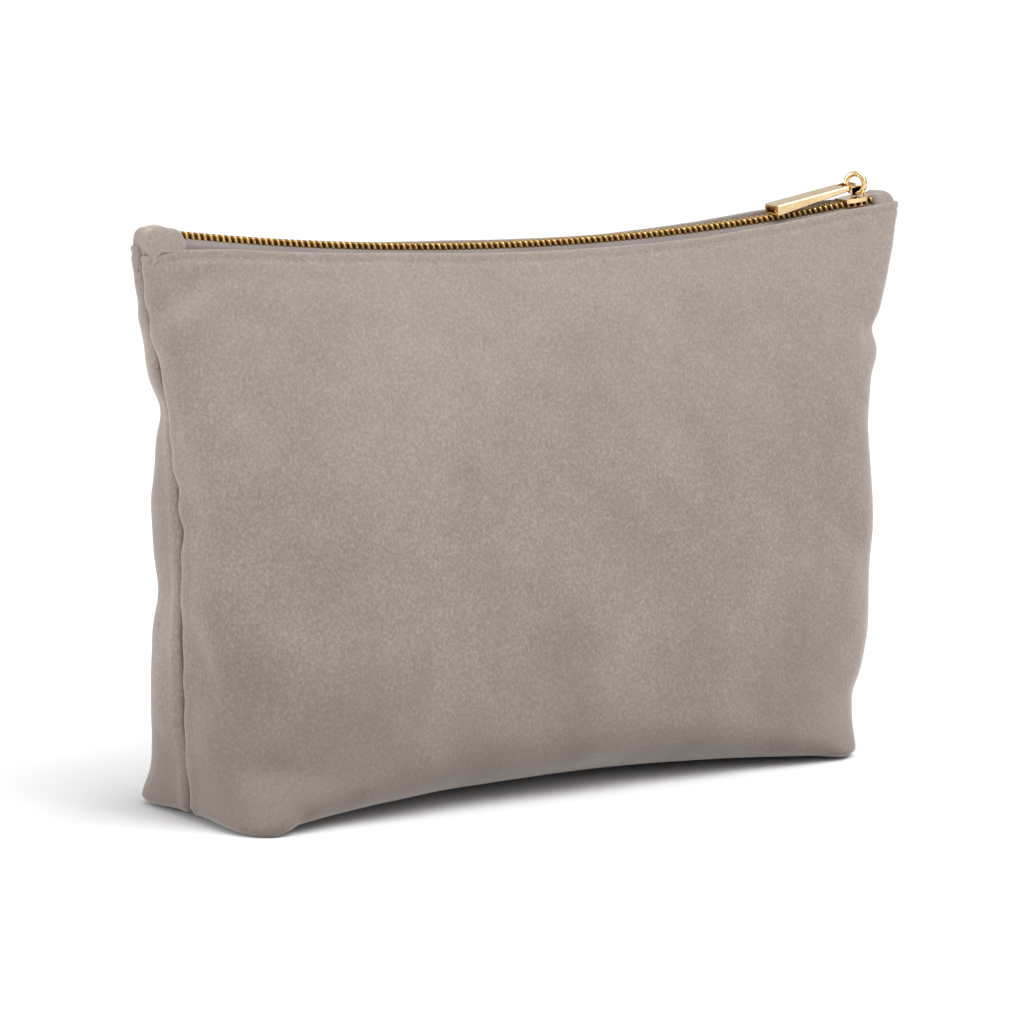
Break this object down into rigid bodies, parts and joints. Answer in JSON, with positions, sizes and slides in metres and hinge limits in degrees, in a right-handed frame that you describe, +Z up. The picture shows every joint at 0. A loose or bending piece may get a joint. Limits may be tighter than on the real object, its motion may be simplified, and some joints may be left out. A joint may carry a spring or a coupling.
{
  "type": "zippered pouch",
  "caption": "Soft velvet pouch with a flat boxed base, a sagging top edge closed by a metal zip with end tabs, and a bar pull hung on a ring.",
  "frame": {"origin": "middle of the box around the pouch, on the surface that its flat base rests on", "axes": "+X along the zip towards its closed end, +Y from the front panel to the back panel, +Z up"},
  "size_m": [0.3004, 0.0834, 0.196],
  "materials": {
    "velvet": "short-pile velvet, matt with a soft sheen",
    "lining": "plain woven lining",
    "zip_tape": "herringbone woven tape",
    "thread": "spun sewing thread",
    "antique_gold": "antique gold plating",
    "polished_gold": "polished light gold plating"
  },
  "bodies": {
    "bag": {"front_panel": "velvet", "back_panel": "velvet", "left_end_tab": "velvet", "right_end_tab": "velvet", "front_lining": "lining", "back_lining": "lining", "front_zip_tape": "zip_tape", "back_zip_tape": "zip_tape", "front_teeth": "antique_gold", "back_teeth": "antique_gold", "bottom_stop": "antique_gold", "front_top_stop": "antique_gold", "back_top_stop": "antique_gold", "front_topstitch": "thread", "back_topstitch": "thread", "left_tab_stitch": "thread", "right_tab_stitch": "thread", "left_side_seam": "thread", "right_side_seam": "thread", "left_corner_seam": "thread", "right_corner_seam": "thread", "base_seam": "thread"},
    "slider": {"slider_body": "polished_gold", "slider_bridge": "polished_gold"},
    "ring": {"pull_ring": "polished_gold"},
    "pull": {"pull_bar": "polished_gold"}
  },
  "joints": [
    {"name": "zip_travel", "type": "hinge", "parent": "bag", "child": "slider", "pos_m": [0.014, 0, 1.2366], "axis": [0, 1, 0], "range_deg": [0, 14.15], "deforming": ["front_teeth", "back_teeth"]},
    {"name": "ring_swing", "type": "hinge", "parent": "slider", "child": "ring", "pos_m": [0.13297, 0.00039, 0.18845], "axis": [-0.5266, 0.848, -0.0589], "range_deg": [0, 35]},
    {"name": "pull_swing", "type": "hinge", "parent": "ring", "child": "pull", "pos_m": [0.1326, 0.00039, 0.19173], "axis": [0.8428, 0.5299, 0.0942], "range_deg": [0, 75]}
  ]
}
